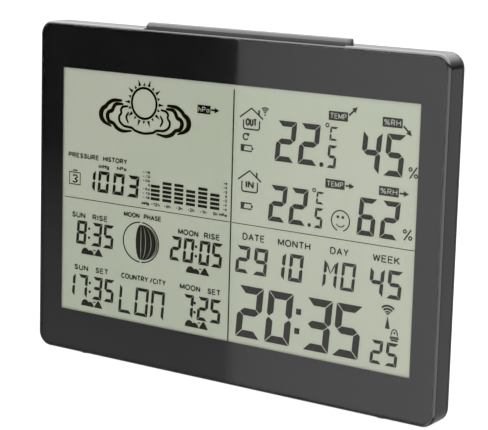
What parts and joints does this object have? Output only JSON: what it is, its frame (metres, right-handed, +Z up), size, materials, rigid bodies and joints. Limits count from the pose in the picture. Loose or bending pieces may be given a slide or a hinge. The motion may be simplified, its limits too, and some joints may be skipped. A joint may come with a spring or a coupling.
{
  "type": "home weather station",
  "caption": "Desk and wall weather station with a wide glossy-fronted display, a long light bar on top, rear keys, a fold-out stand and a battery door.",
  "frame": {"origin": "centre of the base, on the surface the rubber feet stand on", "axes": "+X to the right across the display, +Y to the back, +Z up"},
  "size_m": [0.213, 0.029, 0.1571],
  "materials": {
    "case_black": "fine moulded texture",
    "rear_black": "fine spark texture",
    "lens_clear": "polished clear, black border printed behind",
    "bar_grey": "satin",
    "button_grey": "satin",
    "foot_rubber": "matt",
    "screw_steel": "zinc plated",
    "lcd_glass": "grey-green twisted nematic display",
    "frame_white": "plain",
    "guide_clear": "clear acrylic",
    "reflector_white": "white film",
    "zebra_pink": "silicone",
    "led_white": "clear resin",
    "board_green": "solder mask",
    "epoxy_black": "cured epoxy",
    "metal_can": "tinned",
    "sensor_white": "plain",
    "copper_wire": "enamelled copper",
    "ferrite_grey": "sintered",
    "switch_black": "plain",
    "cell_wrap": "plain printed sleeve",
    "contact_nickel": "nickel plated"
  },
  "bodies": {
    "root": {"front_case": "case_black", "rear_case": "rear_black", "front_lens": "lens_clear", "foot_1": "foot_rubber", "foot_2": "foot_rubber", "foot_3": "foot_rubber", "foot_4": "foot_rubber", "case_screw_1": "screw_steel", "case_screw_2": "screw_steel", "case_screw_3": "screw_steel", "case_screw_4": "screw_steel", "board_screw_1": "screw_steel", "board_screw_2": "screw_steel", "board_screw_3": "screw_steel", "board_screw_4": "screw_steel", "lcd_panel": "lcd_glass", "lcd_frame": "frame_white", "light_guide": "guide_clear", "reflector_sheet": "reflector_white", "zebra_strip_lower": "zebra_pink", "zebra_strip_upper": "zebra_pink", "backlight_led_left": "led_white", "backlight_led_right": "led_white", "main_board": "board_green", "key_board": "board_green", "controller_glob": "epoxy_black", "crystal": "metal_can", "pressure_sensor": "metal_can", "radio_module": "metal_can", "humidity_sensor": "sensor_white", "radio_antenna": "copper_wire", "ferrite_coil": "copper_wire", "ferrite_rod": "ferrite_grey", "key_switch_1": "switch_black", "key_switch_2": "switch_black", "key_switch_3": "switch_black", "key_switch_4": "switch_black", "key_switch_5": "switch_black", "key_switch_6": "switch_black", "snooze_switch": "switch_black", "buzzer": "switch_black", "dc_jack": "switch_black", "battery_1": "cell_wrap", "battery_2": "cell_wrap", "battery_3": "cell_wrap", "battery_contact_positive": "contact_nickel", "battery_bridge_left": "contact_nickel", "battery_bridge_right": "contact_nickel", "battery_contact_negative": "contact_nickel"},
    "snooze": {"snooze_bar": "bar_grey"},
    "stand": {"stand_leg": "rear_black"},
    "door": {"battery_door": "rear_black"},
    "button_1": {"rear_button_1": "button_grey"},
    "button_2": {"rear_button_2": "button_grey"},
    "button_3": {"rear_button_3": "button_grey"},
    "button_4": {"rear_button_4": "button_grey"},
    "button_5": {"rear_button_5": "button_grey"},
    "button_6": {"rear_button_6": "button_grey"}
  },
  "joints": [
    {"name": "snooze_press", "type": "slide", "parent": "root", "child": "snooze", "axis": [0, 0, -1], "range_m": [0, 0.001], "stiffness_N_per_m": 500, "springref_m": -0.002},
    {"name": "stand_fold", "type": "hinge", "parent": "root", "child": "stand", "pos_m": [0, 0.0125, 0.0705], "axis": [1, 0, 0], "range_deg": [0, 35]},
    {"name": "door_lift_off", "type": "slide", "parent": "root", "child": "door", "axis": [0, 1, 0], "range_m": [0, 0.03]},
    {"name": "button_1_press", "type": "slide", "parent": "root", "child": "button_1", "axis": [0, -1, 0], "range_m": [0, 0.0008], "stiffness_N_per_m": 600, "springref_m": -0.002},
    {"name": "button_2_press", "type": "slide", "parent": "root", "child": "button_2", "axis": [0, -1, 0], "range_m": [0, 0.0008], "stiffness_N_per_m": 600, "springref_m": -0.002},
    {"name": "button_3_press", "type": "slide", "parent": "root", "child": "button_3", "axis": [0, -1, 0], "range_m": [0, 0.0008], "stiffness_N_per_m": 600, "springref_m": -0.002},
    {"name": "button_4_press", "type": "slide", "parent": "root", "child": "button_4", "axis": [0, -1, 0], "range_m": [0, 0.0008], "stiffness_N_per_m": 600, "springref_m": -0.002},
    {"name": "button_5_press", "type": "slide", "parent": "root", "child": "button_5", "axis": [0, -1, 0], "range_m": [0, 0.0008], "stiffness_N_per_m": 600, "springref_m": -0.002},
    {"name": "button_6_press", "type": "slide", "parent": "root", "child": "button_6", "axis": [0, -1, 0], "range_m": [0, 0.0008], "stiffness_N_per_m": 600, "springref_m": -0.002}
  ]
}
